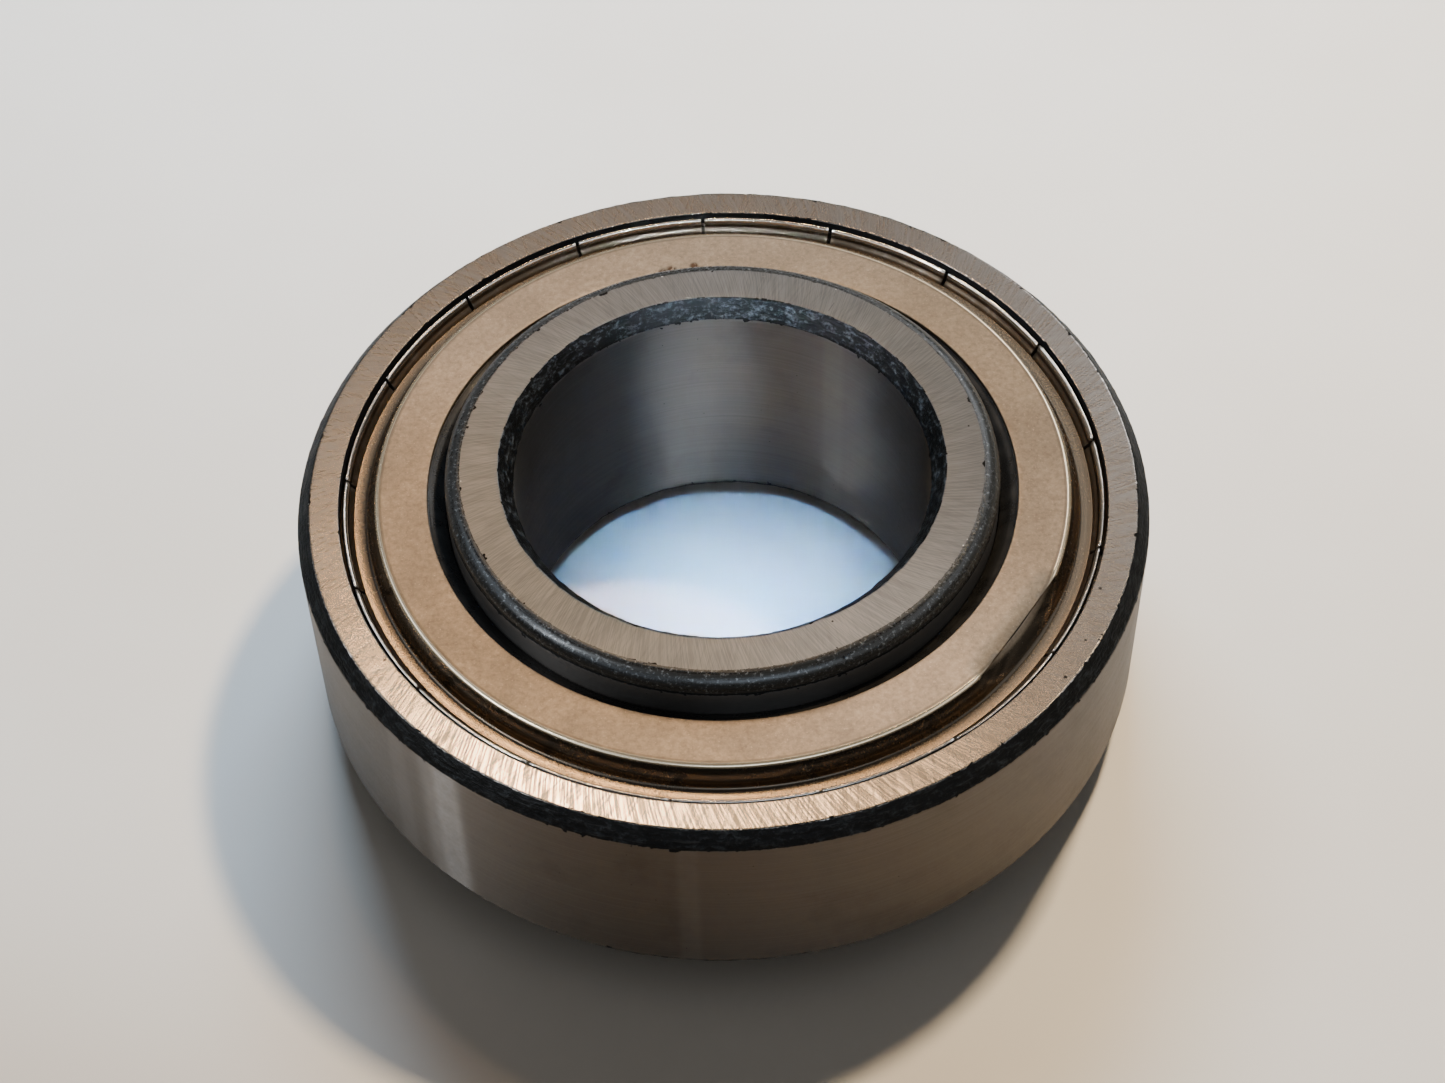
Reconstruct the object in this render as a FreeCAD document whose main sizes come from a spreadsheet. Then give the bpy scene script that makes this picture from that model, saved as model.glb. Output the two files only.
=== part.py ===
"""Sealed single-row ball bearing with an inner ring that stands proud of the outer ring.

Frame: millimetres, +Z along the bearing's axis, origin at the bearing's centre (on the axis, at mid-width).
"""
import FreeCAD, Part

import os

import Sketcher

FLIPPED = FreeCAD.Rotation(FreeCAD.Vector(1, 0, 0), 180)
SAME_PLACE = 1e-4  # mm, within which an edge counts as lying at a corner

SIZES = [
    # outer ring
    ("outer_diameter", 80.0),
    ("outer_width", 21.0),
    ("outer_chamfer_radial", 1.2),
    ("outer_chamfer_axial", 1.5),
    ("outer_land_diameter", 68.4),
    ("rebate_diameter", 72.0),
    ("rebate_depth", 2.1),
    ("undercut_diameter", 72.7),
    ("undercut_height", 0.75),
    # inner ring
    ("bore_diameter", 38.9),
    ("inner_width", 28.0),
    ("bore_chamfer_radial", 1.35),
    ("bore_chamfer_axial", 1.75),
    ("inner_land_diameter", 51.8),
    ("inner_corner_radius", 1.5),
    # balls and raceways
    ("pitch_diameter", 60.0),
    ("ball_count", 9),
    ("ball_diameter", 12.7),
    ("groove_radius", 6.6),
    ("groove_clearance", 0.05),
    # cage
    ("cage_inner_diameter", 54.6),
    ("cage_outer_diameter", 65.4),
    ("cage_thickness", 0.8),
    ("pocket_clearance", 0.15),
    ("rivet_diameter", 1.8),
    ("rivet_head_diameter", 3.2),
    ("rivet_head_height", 0.7),
    # crimped shields
    ("sheet_thickness", 0.4),
    ("shield_proud", 0.55),
    ("shield_hole_diameter", 55.3),
    ("plateau_diameter", 65.0),
    ("wall_slope_radial", 0.95),
    ("wall_sheet_radial", 0.45),
    ("rim_inner_diameter", 70.6),
    ("rim_outer_diameter", 71.5),
    ("rim_below_face", 0.4),
    ("foot_diameter", 72.5),
    ("foot_height", 0.7),
    ("bend_radius", 0.3),
    ("rim_radius", 0.18),
    ("slit_count", 17),
    ("slit_width", 0.34),
    ("slit_start_diameter", 70.1),
    ("slit_phase", 92.1),
    # rubber lips and their steel washers
    ("rubber_outer_diameter", 63.8),
    ("rubber_thickness", 0.9),
    ("lip_shoulder_diameter", 54.0),
    ("lip_diameter", 52.0),
    ("lip_drop", 1.05),
    ("lip_tip_height", 0.3),
    ("washer_inner_diameter", 55.6),
    ("washer_outer_diameter", 64.4),
    ("washer_thickness", 0.5),
]


def make_sizes(doc):
    """The driving dimensions, in millimetres and degrees, one named cell each."""
    sheet = doc.addObject("Spreadsheet::Sheet", "sizes")
    for row, (alias, value) in enumerate(SIZES, start=1):
        sheet.set(f"A{row}", alias.replace("_", " "))
        sheet.set(f"B{row}", str(value))
        sheet.setAlias(f"B{row}", alias)
    doc.recompute()
    return sheet


def origin_feature(body, role):
    """One of the body's own planes or axes."""
    return next(feature for feature in body.Origin.OriginFeatures if feature.Role == role)


def new_body(doc, label):
    body = doc.addObject("PartDesign::Body", label)
    body.Label = label
    return body


def new_sketch(body, name, plane="XZ_Plane"):
    sketch = body.newObject("Sketcher::SketchObject", name)
    sketch.AttachmentSupport = (origin_feature(body, plane), "")
    sketch.MapMode = "FlatFace"
    return sketch


def pin_point(sketch, line, across, up):
    """Hold the start of a line at two expressions, measured from the sketch's origin."""
    for kind, expression in (("DistanceX", across), ("DistanceY", up)):
        value = float(sketch.evalExpression(expression))
        index = sketch.addConstraint(Sketcher.Constraint(kind, -1, 1, line, 1, value))
        sketch.setExpression(f"Constraints[{index}]", expression)


def add_outline(sketch, corners):
    """A closed straight-sided outline through corners given as pairs of expressions."""
    points = [
        FreeCAD.Vector(float(sketch.evalExpression(across)), float(sketch.evalExpression(up)), 0)
        for across, up in corners
    ]
    lines = [
        sketch.addGeometry(Part.LineSegment(start, end), False)
        for start, end in zip(points, points[1:] + points[:1])
    ]
    for line, following in zip(lines, lines[1:] + lines[:1]):
        sketch.addConstraint(Sketcher.Constraint("Coincident", line, 2, following, 1))
    for line, (across, up) in zip(lines, corners):
        pin_point(sketch, line, across, up)


def add_circle(sketch, across, radius):
    """A circle centred on the sketch's first axis."""
    centre = FreeCAD.Vector(float(sketch.evalExpression(across)), 0, 0)
    size = float(sketch.evalExpression(radius))
    circle = sketch.addGeometry(Part.Circle(centre, FreeCAD.Vector(0, 0, 1), size), False)
    sketch.addConstraint(Sketcher.Constraint("PointOnObject", circle, 3, -1))
    for constraint, expression in (
        (Sketcher.Constraint("DistanceX", -1, 1, circle, 3, centre.x), across),
        (Sketcher.Constraint("Radius", circle, size), radius),
    ):
        index = sketch.addConstraint(constraint)
        sketch.setExpression(f"Constraints[{index}]", expression)


def revolve(body, sketch, kind="PartDesign::Revolution"):
    """A full turn of the sketch about its own second axis: added, or cut away for a Groove."""
    feature = body.newObject(kind, sketch.Name + "_turned")
    feature.Profile = sketch
    feature.ReferenceAxis = (sketch, ["V_Axis"])
    feature.Angle = 360
    body.Document.recompute()
    return feature


def polar_pattern(body, feature, count):
    """Repeat a feature evenly round the axis."""
    pattern = body.newObject("PartDesign::PolarPattern", feature.Name + "_pattern")
    pattern.Originals = [feature]
    pattern.Axis = (origin_feature(body, "Z_Axis"), [""])
    pattern.Angle = 360
    pattern.setExpression("Occurrences", count)
    body.Tip = pattern
    body.Document.recompute()
    return pattern


def ring_edges(feature, corners):
    """Names of the circular edges that lie at the given radius and height."""
    names = []
    for number, edge in enumerate(feature.Shape.Edges, start=1):
        curve = edge.Curve
        if not isinstance(curve, Part.Circle):
            continue
        for radius, height in corners:
            if abs(curve.Radius - radius) < SAME_PLACE and abs(curve.Center.z - height) < SAME_PLACE:
                names.append(f"Edge{number}")
    return names


def round_edges(body, feature, radius, corners):
    """Fillet the ring edges at the corners, which are pairs of radius and height expressions."""
    found = ring_edges(feature, [
        (float(body.evalExpression(across)), float(body.evalExpression(up))) for across, up in corners
    ])
    if len(found) != len(corners):
        raise RuntimeError(f"{body.Label}: {len(found)} edges found for {len(corners)} corners")
    fillet = body.newObject("PartDesign::Fillet", f"{body.Label}_round_{len(body.Group)}")
    fillet.Base = (feature, found)
    fillet.setExpression("Radius", radius)
    body.Document.recompute()
    return fillet


def cut_away(body, sketch, name):
    """Pocket upward from the sketch right through the body, and prove that it removed metal."""
    before = body.Shape.Volume
    pocket = body.newObject("PartDesign::Pocket", name)
    pocket.Profile = sketch
    pocket.Type = "ThroughAll"
    pocket.Reversed = True
    body.Document.recompute()
    if body.Shape.Volume >= before:
        raise RuntimeError(f"{name} cut nothing")
    return pocket


def with_mirror_image(upper):
    """The corners of an upper half section, then those of its mirror image below mid-width."""
    lower = [(across, f"-({up})") for across, up in reversed(upper)]
    return upper + lower


def cut_raceway(body, name, centre):
    """The round groove that the balls run in."""
    before = body.Shape.Volume
    section = new_sketch(body, name)
    add_circle(section, centre, "sizes.groove_radius")
    revolve(body, section, "PartDesign::Groove")
    if body.Shape.Volume >= before:
        raise RuntimeError(f"{name} cut nothing")


def make_outer_ring(doc):
    body = new_body(doc, "outer_ring")
    outside = "sizes.outer_diameter / 2"
    face_edge = f"{outside} - sizes.outer_chamfer_radial"
    face = "sizes.outer_width / 2"
    chamfer_foot = f"{face} - sizes.outer_chamfer_axial"
    rebate = "sizes.rebate_diameter / 2"
    undercut = "sizes.undercut_diameter / 2"
    seat = f"{face} - sizes.rebate_depth"
    undercut_top = f"{seat} + sizes.undercut_height"
    land = "sizes.outer_land_diameter / 2"
    upper = [
        (outside, chamfer_foot),
        (face_edge, face),
        (rebate, face),
        (rebate, undercut_top),
        (undercut, undercut_top),
        (undercut, seat),
        (land, seat),
    ]
    section = new_sketch(body, "outer_ring_section")
    add_outline(section, with_mirror_image(upper))
    revolve(body, section)
    cut_raceway(
        body,
        "outer_raceway",
        "sizes.pitch_diameter / 2 + sizes.ball_diameter / 2 + sizes.groove_clearance - sizes.groove_radius",
    )
    return body


def make_inner_ring(doc):
    body = new_body(doc, "inner_ring")
    bore = "sizes.bore_diameter / 2"
    face = "sizes.inner_width / 2"
    land = "sizes.inner_land_diameter / 2"
    upper = [
        (land, face),
        (f"{bore} + sizes.bore_chamfer_radial", face),
        (bore, f"{face} - sizes.bore_chamfer_axial"),
    ]
    section = new_sketch(body, "inner_ring_section")
    add_outline(section, with_mirror_image(upper))
    turned = revolve(body, section)
    round_edges(body, turned, "sizes.inner_corner_radius", [(land, face), (land, f"-({face})")])
    cut_raceway(
        body,
        "inner_raceway",
        "sizes.pitch_diameter / 2 - sizes.ball_diameter / 2 - sizes.groove_clearance + sizes.groove_radius",
    )
    return body


def make_ball(doc, number):
    """One ball of the row: ball_1 lies on +X and the rest follow counter-clockwise."""
    ball = doc.addObject("Part::Sphere", f"ball_{number}")
    ball.Label = f"ball_{number}"
    turn = f"{number - 1} * 360 deg / sizes.ball_count"
    ball.setExpression("Radius", "sizes.ball_diameter / 2")
    ball.setExpression("Placement.Base.x", f"sizes.pitch_diameter / 2 * cos({turn})")
    ball.setExpression("Placement.Base.y", f"sizes.pitch_diameter / 2 * sin({turn})")
    return ball


def add_pocket_sphere(body, kind, name, radius):
    """A sphere on the first ball's centre, joined to or cut from the cage."""
    sphere = body.newObject(kind, name)
    sphere.setExpression("Radius", radius)
    sphere.AttachmentSupport = (origin_feature(body, "XY_Plane"), "")
    sphere.MapMode = "FlatFace"
    sphere.setExpression("AttachmentOffset.Base.x", "sizes.pitch_diameter / 2")
    body.Document.recompute()
    return polar_pattern(body, sphere, "sizes.ball_count")


def make_cage_half(doc, label):
    """A stamped ribbon: flat bridges with a rivet hole each, and a domed pocket over every ball."""
    body = new_body(doc, label)
    inside = "sizes.cage_inner_diameter / 2"
    outside = "sizes.cage_outer_diameter / 2"
    clear_pocket = "sizes.ball_diameter / 2 + sizes.pocket_clearance"
    plate = new_sketch(body, f"{label}_plate")
    add_outline(plate, [
        (inside, "0"),
        (outside, "0"),
        (outside, "sizes.cage_thickness"),
        (inside, "sizes.cage_thickness"),
    ])
    revolve(body, plate)
    add_pocket_sphere(
        body, "PartDesign::AdditiveSphere", f"{label}_domes", f"{clear_pocket} + sizes.cage_thickness"
    )
    # everything inside, outside and below the ribbon goes
    top = "sizes.ball_diameter"
    near = "sizes.pitch_diameter / 2 - sizes.ball_diameter"
    far = "sizes.pitch_diameter / 2 + sizes.ball_diameter"
    trim = new_sketch(body, f"{label}_trim")
    add_outline(trim, [
        (near, top),
        (inside, top),
        (inside, "0"),
        (outside, "0"),
        (outside, top),
        (far, top),
        (far, f"-{top}"),
        (near, f"-{top}"),
    ])
    revolve(body, trim, "PartDesign::Groove")
    add_pocket_sphere(body, "PartDesign::SubtractiveSphere", f"{label}_pockets", clear_pocket)
    # with an odd number of balls, -X is half way between two of them
    hole_section = new_sketch(body, f"{label}_rivet_hole", "XY_Plane")
    add_circle(hole_section, "-sizes.pitch_diameter / 2", "sizes.rivet_diameter / 2")
    hole = cut_away(body, hole_section, f"{label}_hole")
    polar_pattern(body, hole, "sizes.ball_count")
    return body


def make_rivets(doc):
    """The identical rivets that hold the two cage halves together, one between each pair of balls."""
    body = new_body(doc, "cage_rivets")
    body.AllowCompound = True
    shank = "sizes.rivet_diameter / 2"
    head = "sizes.rivet_head_diameter / 2"
    grip = "sizes.cage_thickness"
    top = "sizes.cage_thickness + sizes.rivet_head_height"
    section = new_sketch(body, "rivet_section")
    section.setExpression("AttachmentOffset.Base.x", "-sizes.pitch_diameter / 2")
    add_outline(section, with_mirror_image([("0", top), (head, top), (head, grip), (shank, grip)]))
    rivet = revolve(body, section)
    polar_pattern(body, rivet, "sizes.ball_count")
    return body


def make_shield(doc, label):
    """A pressed steel cap: flat plateau, channel, and a slit rim crimped into the outer ring."""
    body = new_body(doc, label)
    face = "sizes.outer_width / 2"
    seat = f"{face} - sizes.rebate_depth"
    floor_top = f"{seat} + sizes.sheet_thickness"
    plateau_top = f"{face} + sizes.shield_proud"
    plateau_under = f"{plateau_top} - sizes.sheet_thickness"
    hole = "sizes.shield_hole_diameter / 2"
    plateau = "sizes.plateau_diameter / 2"
    wall_foot = f"{plateau} + sizes.wall_slope_radial"
    rim_inside = "sizes.rim_inner_diameter / 2"
    rim_outside = "sizes.rim_outer_diameter / 2"
    rim_top = f"{face} - sizes.rim_below_face"
    foot = "sizes.foot_diameter / 2"
    foot_top = f"{seat} + sizes.foot_height"
    section = new_sketch(body, f"{label}_section")
    add_outline(section, [
        (hole, plateau_top),
        (plateau, plateau_top),
        (wall_foot, floor_top),
        (rim_inside, floor_top),
        (rim_inside, rim_top),
        (rim_outside, rim_top),
        (rim_outside, foot_top),
        (foot, foot_top),
        (foot, seat),
        (f"{wall_foot} - sizes.wall_sheet_radial", seat),
        (f"{plateau} - sizes.wall_sheet_radial", plateau_under),
        (hole, plateau_under),
    ])
    turned = revolve(body, section)
    bends = [(plateau, plateau_top), (wall_foot, floor_top), (rim_inside, floor_top)]
    bent = round_edges(body, turned, "sizes.bend_radius", bends)
    round_edges(body, bent, "sizes.rim_radius", [(rim_inside, rim_top), (rim_outside, rim_top)])
    slit_section = new_sketch(body, f"{label}_slit_outline", "XY_Plane")
    start = "sizes.slit_start_diameter / 2"
    half = "sizes.slit_width / 2"
    beyond = "sizes.undercut_diameter / 2"
    add_outline(slit_section, [
        (start, f"-{half}"),
        (beyond, f"-{half}"),
        (beyond, half),
        (start, half),
    ])
    slit = cut_away(body, slit_section, f"{label}_slit")
    polar_pattern(body, slit, "sizes.slit_count")
    return body


def make_seal_lip(doc, label):
    """A rubber washer under the shield, tapering to a lip that runs on the inner ring."""
    body = new_body(doc, label)
    top = "sizes.outer_width / 2 + sizes.shield_proud - sizes.sheet_thickness"
    under = f"{top} - sizes.rubber_thickness"
    tip = "sizes.lip_diameter / 2"
    section = new_sketch(body, f"{label}_section")
    add_outline(section, [
        ("sizes.rubber_outer_diameter / 2", top),
        ("sizes.rubber_outer_diameter / 2", under),
        ("sizes.washer_inner_diameter / 2", under),
        (tip, f"{top} - sizes.lip_drop - sizes.lip_tip_height"),
        (tip, f"{top} - sizes.lip_drop"),
        ("sizes.lip_shoulder_diameter / 2", f"{top} - sizes.lip_tip_height"),
        ("sizes.shield_hole_diameter / 2", top),
    ])
    revolve(body, section)
    return body


def make_seal_washer(doc, label):
    """The flat steel washer that backs the rubber on the ball side."""
    body = new_body(doc, label)
    top = "sizes.outer_width / 2 + sizes.shield_proud - sizes.sheet_thickness - sizes.rubber_thickness"
    under = f"{top} - sizes.washer_thickness"
    inside = "sizes.washer_inner_diameter / 2"
    outside = "sizes.washer_outer_diameter / 2"
    section = new_sketch(body, f"{label}_section")
    add_outline(section, [(inside, under), (outside, under), (outside, top), (inside, top)])
    revolve(body, section)
    return body


def place_seal(shield, others, turned_over, slit_phase):
    """Turn a shield's slits to their place, and turn the lower set over."""
    spin = FreeCAD.Rotation(FreeCAD.Vector(0, 0, 1), slit_phase)
    flip = FLIPPED if turned_over else FreeCAD.Rotation()
    shield.Placement = FreeCAD.Placement(FreeCAD.Vector(), flip * spin)
    for body in others:
        body.Placement = FreeCAD.Placement(FreeCAD.Vector(), flip)


def make_all(doc):
    """Every sub-part of the bearing, each an object whose label is its node's name."""
    sizes = make_sizes(doc)
    parts = [make_outer_ring(doc), make_inner_ring(doc)]
    parts += [make_ball(doc, number) for number in range(1, int(sizes.ball_count) + 1)]
    upper_cage = make_cage_half(doc, "cage_upper_half")
    lower_cage = make_cage_half(doc, "cage_lower_half")
    lower_cage.Placement = FreeCAD.Placement(FreeCAD.Vector(), FLIPPED)
    parts += [upper_cage, lower_cage, make_rivets(doc)]
    for side in ("upper", "lower"):
        shield = make_shield(doc, f"{side}_shield")
        lip = make_seal_lip(doc, f"{side}_seal_lip")
        washer = make_seal_washer(doc, f"{side}_seal_washer")
        place_seal(shield, [lip, washer], side == "lower", sizes.slit_phase)
        parts += [shield, lip, washer]
    return parts


def check(doc, parts):
    """Stop on any failed object or broken shape before a file is written."""
    doc.recompute()
    for item in doc.Objects:
        if "Invalid" in item.State or "Error" in item.State:
            raise RuntimeError(f"{item.Label} failed to rebuild: {item.State}")
    for part in parts:
        shape = part.Shape
        if shape.isNull() or not shape.isValid() or not shape.Solids:
            raise RuntimeError(f"{part.Label} has no sound solid")
        print(f"{part.Label}: {len(shape.Solids)} solid, {shape.Volume:.1f} mm3, box {shape.BoundBox}")


def main():
    doc = FreeCAD.newDocument("bearing")
    parts = make_all(doc)
    check(doc, parts)
    os.makedirs("parts", exist_ok=True)
    for part in parts:
        part.Shape.exportStep(f"parts/{part.Label}.step")


main()
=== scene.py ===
"""The visual model of a sealed ball bearing with a wide inner ring.

The model is in metres, with +Z along the bearing's axis and the origin at the bearing's centre.
Sizes below are in millimetres and are turned to metres where a piece is made.
"""
import math
import random

import bmesh
import bpy
from mathutils import Matrix, Vector, noise


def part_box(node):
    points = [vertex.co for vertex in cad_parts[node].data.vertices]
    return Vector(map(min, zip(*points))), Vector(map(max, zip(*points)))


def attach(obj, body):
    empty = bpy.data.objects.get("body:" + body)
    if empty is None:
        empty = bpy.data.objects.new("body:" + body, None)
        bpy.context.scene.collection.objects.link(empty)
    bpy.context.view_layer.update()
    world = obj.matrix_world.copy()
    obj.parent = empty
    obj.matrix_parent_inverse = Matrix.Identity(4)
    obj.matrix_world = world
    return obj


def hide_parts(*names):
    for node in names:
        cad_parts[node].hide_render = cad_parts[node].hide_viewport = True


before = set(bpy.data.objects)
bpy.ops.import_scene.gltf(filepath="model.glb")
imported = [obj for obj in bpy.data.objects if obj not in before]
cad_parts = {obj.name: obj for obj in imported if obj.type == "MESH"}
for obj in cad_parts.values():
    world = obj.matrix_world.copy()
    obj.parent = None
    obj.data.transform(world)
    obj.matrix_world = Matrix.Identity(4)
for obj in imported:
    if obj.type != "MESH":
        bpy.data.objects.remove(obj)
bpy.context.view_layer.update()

MM = 0.001

# ---------------------------------------------------------------- sizes, in millimetres

OUTER_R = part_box("outer_ring")[1][0] / MM
OUTER_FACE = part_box("outer_ring")[1][2] / MM
INNER_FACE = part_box("inner_ring")[1][2] / MM
LAND_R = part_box("inner_ring")[1][0] / MM
SHIELD_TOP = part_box("upper_shield")[1][2] / MM
SHIELD_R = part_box("upper_shield")[1][0] / MM
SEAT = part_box("upper_shield")[0][2] / MM
WASHER_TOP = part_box("upper_seal_washer")[1][2] / MM

FACE_EDGE_R = OUTER_R - 1.2
CHAMFER_FOOT = OUTER_FACE - 1.5
REBATE_R = 36.0
UNDERCUT_R = 36.35
UNDERCUT_TOP = SEAT + 0.75
OUTER_LAND_R = 34.2

BORE_R = 19.45
BORE_MOUTH_R = 20.8
BORE_CHAMFER_FOOT = INNER_FACE - 1.75
CORNER_R = 1.5

PITCH_R = 30.0
RACEWAY_R = 6.6
RACEWAY_SHIFT = 0.2

SHEET = 0.4
HOLE_R = 27.65
PLATEAU_R = 32.5
WALL_FOOT_R = 33.45
CHANNEL_END_R = 34.72
RIM_R = 35.76
SLITS = 17
SLIT_PHASE = math.radians(92.1)
SLIT_ANGLE = 0.34 / 35.5

RUBBER_R = 31.9
WASHER_HOLE_R = 27.8
LIP_R = 26.0

# the roughened chamfers stand a little proud, so the table lies that much lower
ROUGH_PROUD = 0.03
TABLE_Z = -INNER_FACE - ROUGH_PROUD

# how many steps a piece is turned in, and how many an arc or a tab has
OUTER_STEPS = 384
INNER_STEPS = 320
SHIELD_STEPS = 24 * SLITS
RUBBER_STEPS = 256
TAB_STEPS = 22
RACEWAY_STEPS = 24
CORNER_STEPS = 10

# points closer than this are one, and pressed sheet is out of true by up to this
WELD = 0.0005
WOBBLE = 0.03

# the knock in the upper shield: a stretch of the plateau's edge between two kinks is pressed flat
DENT_FROM = math.radians(-46.5)
DENT_TO = math.radians(-22.6)
DENT_MIDDLE = (DENT_FROM + DENT_TO) / 2
DENT_HALF = (DENT_TO - DENT_FROM) / 2
DENT_CHORD = PLATEAU_R * math.cos(DENT_HALF)
DENT_CREASE = 30.5
DENT_SLOPE = 0.20

# a crimped tab's section, as radius and height: its folded foot, its crown that leans and lifts, its skirt
TAB_FOLD = [(34.98, 9.10), (35.14, 9.36), (35.20, 9.22)]
TAB_CROWN = [(35.25, 9.62), (35.34, 9.92), (35.46, 10.07), (35.60, 10.09)]
TAB_SHOULDER = (35.72, 9.98)
TAB_SKIRT = [(RIM_R, 9.72), (RIM_R, 9.14), (SHIELD_R - 0.04, 9.04)]
CROWN_FOOT = 9.5
RIM_SEED = {"upper": 17, "lower": 71}

# the rubber's free edge: radius, height and rounding, from the washer out to the lip and back to the shield
LIP_SECTION = [
    (LIP_R + 0.5, 9.45, 0.1),
    (LIP_R, 9.32, 0.08),
    (LIP_R, 9.60, 0.08),
    (26.45, 9.95, 0.12),
    (26.95, 10.42, 0.16),
    (27.45, 10.56, 0.10),
]


# ---------------------------------------------------------------- shader maths

class Value:
    """A number that varies over a surface: a shader socket that Python's operators work on."""

    def __init__(self, shader, socket):
        self.shader = shader
        self.socket = socket

    def _maths(self, operation, *others):
        return self.shader.maths(operation, self, *others)

    def __add__(self, other):
        return self._maths("ADD", other)

    __radd__ = __add__

    def __sub__(self, other):
        return self._maths("SUBTRACT", other)

    def __rsub__(self, other):
        return self.shader.maths("SUBTRACT", other, self)

    def __mul__(self, other):
        return self._maths("MULTIPLY", other)

    __rmul__ = __mul__

    def __truediv__(self, other):
        return self._maths("DIVIDE", other)

    def __rtruediv__(self, other):
        return self.shader.maths("DIVIDE", other, self)

    def __pow__(self, other):
        return self._maths("POWER", other)

    def size(self):
        return self._maths("ABSOLUTE")

    def clamp(self):
        return self.step(0.0, 1.0, "LINEAR")

    def step(self, low, high, curve="SMOOTHSTEP"):
        """0 below low and 1 above high, or the other way round where low is the larger."""
        start, end = (low, high) if low < high else (high, low)
        grown = self.shader.node(
            "ShaderNodeMapRange",
            {"interpolation_type": curve, "clamp": True},
            {"Value": self, "From Min": start, "From Max": end},
        )
        value = Value(self.shader, grown.outputs["Result"])
        return value if low < high else 1 - value


class Shader:
    """One material's nodes, with a Principled shader at their end."""

    def __init__(self, name, **constants):
        self.material = bpy.data.materials.new(name)
        self.material.use_nodes = True
        self.tree = self.material.node_tree
        self.surface = self.tree.nodes["Principled BSDF"]
        for socket, number in constants.items():
            self.surface.inputs[socket.replace("_", " ")].default_value = number
        where = self.node("ShaderNodeTexCoord").outputs["Object"]
        millimetres = self.node(
            "ShaderNodeVectorMath", {"operation": "SCALE"}, {"Vector": where, "Scale": 1 / MM}
        )
        self.place = millimetres.outputs["Vector"]
        apart = self.node("ShaderNodeSeparateXYZ", {}, {"Vector": self.place})
        self.x, self.y, self.z = (Value(self, apart.outputs[axis]) for axis in "XYZ")
        self.radius = self.maths("SQRT", self.x * self.x + self.y * self.y)

    def node(self, kind, settings=None, inputs=None):
        """A node of any type: its settings first, then its sockets' values or links."""
        made = self.tree.nodes.new(kind)
        for name, setting in (settings or {}).items():
            setattr(made, name, setting)
        for name, given in (inputs or {}).items():
            self.feed(made.inputs[name], given)
        return made

    def feed(self, socket, given):
        if isinstance(given, Value):
            given = given.socket
        if isinstance(given, bpy.types.NodeSocket):
            self.tree.links.new(given, socket)
        else:
            socket.default_value = given

    def maths(self, operation, *values):
        made = self.node("ShaderNodeMath", {"operation": operation}, dict(enumerate(values)))
        return Value(self, made.outputs[0])

    def vector(self, x, y, z):
        return self.node("ShaderNodeCombineXYZ", {}, {"X": x, "Y": y, "Z": z}).outputs["Vector"]

    def noise(self, scale, where=None, detail=3.0, roughness=0.55, distortion=0.0):
        """Cloudy noise between 0 and 1; scale is in cycles per millimetre."""
        made = self.node("ShaderNodeTexNoise", {}, {
            "Vector": self.place if where is None else where,
            "Scale": scale,
            "Detail": detail,
            "Roughness": roughness,
            "Distortion": distortion,
        })
        return Value(self, made.outputs["Fac"])

    def cells(self, scale, where=None):
        """Distance to the nearest of many scattered points, in cells."""
        made = self.node("ShaderNodeTexVoronoi", {}, {
            "Vector": self.place if where is None else where, "Scale": scale,
        })
        return Value(self, made.outputs["Distance"])

    def spun_lines(self, lines, skew, along):
        """Noise drawn out along a ring's radius, turned by skew radians per millimetre outwards."""
        turn = skew * (self.radius - PITCH_R)
        c = self.maths("COSINE", turn)
        n = self.maths("SINE", turn)
        across = self.x * c - self.y * n
        up = self.x * n + self.y * c
        where = self.vector(
            across / self.radius * PITCH_R * lines,
            up / self.radius * PITCH_R * lines,
            self.radius * along,
        )
        return self.noise(1.0, where, detail=2.0, roughness=0.6)

    def ring_lines(self, lines, drift=0.03):
        """Noise drawn out round the axis: the fine lines that turning or grinding leaves."""
        where = self.vector(self.x * drift, self.y * drift, self.z * lines + self.radius * lines)
        return self.noise(1.0, where, detail=3.0, roughness=0.65)

    def mix(self, factor, first, second):
        """Two colours mixed by a factor from 0 to 1."""
        made = self.node("ShaderNodeMix", {"data_type": "RGBA", "clamp_factor": True}, {0: factor})
        colours = [socket for socket in made.inputs if socket.type == "RGBA"]
        for socket, given in zip(colours, (first, second)):
            self.feed(socket, given)
        return next(socket for socket in made.outputs if socket.type == "RGBA")

    def spot(self, angle, radius, size):
        """1 at a place on the bearing, given by an angle in degrees and a radius, and 0 beyond its size."""
        x = radius * math.cos(math.radians(angle))
        y = radius * math.sin(math.radians(angle))
        away = self.maths("SQRT", (self.x - x) ** 2 + (self.y - y) ** 2)
        return away.step(size, size * 0.4)

    def stroke(self, angle, start, end, width):
        """1 on a straight radial mark at an angle in degrees, between two radii."""
        c = math.cos(math.radians(angle))
        n = math.sin(math.radians(angle))
        along = self.x * c + self.y * n
        across = self.y * c - self.x * n
        ends = along.step(start - 0.1, start + 0.1) * along.step(end + 0.1, end - 0.1)
        return across.size().step(width, width * 0.4) * ends

    def finish(self, colour, roughness, height=None, depth=0.01, metal=None):
        """Link what varies; the bump's depth is in millimetres."""
        self.feed(self.surface.inputs["Base Color"], colour)
        self.feed(self.surface.inputs["Roughness"], roughness)
        if metal is not None:
            self.feed(self.surface.inputs["Metallic"], metal)
        if height is not None:
            bump = self.node(
                "ShaderNodeBump", {}, {"Strength": 1.0, "Distance": depth * MM, "Height": height}
            )
            self.feed(self.surface.inputs["Normal"], bump.outputs["Normal"])
        return self.material


def grey(level, warmth=0.0):
    """A neutral colour, made warmer or cooler by a fraction."""
    return (level * (1 + warmth), level, level * (1 - warmth), 1.0)


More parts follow.
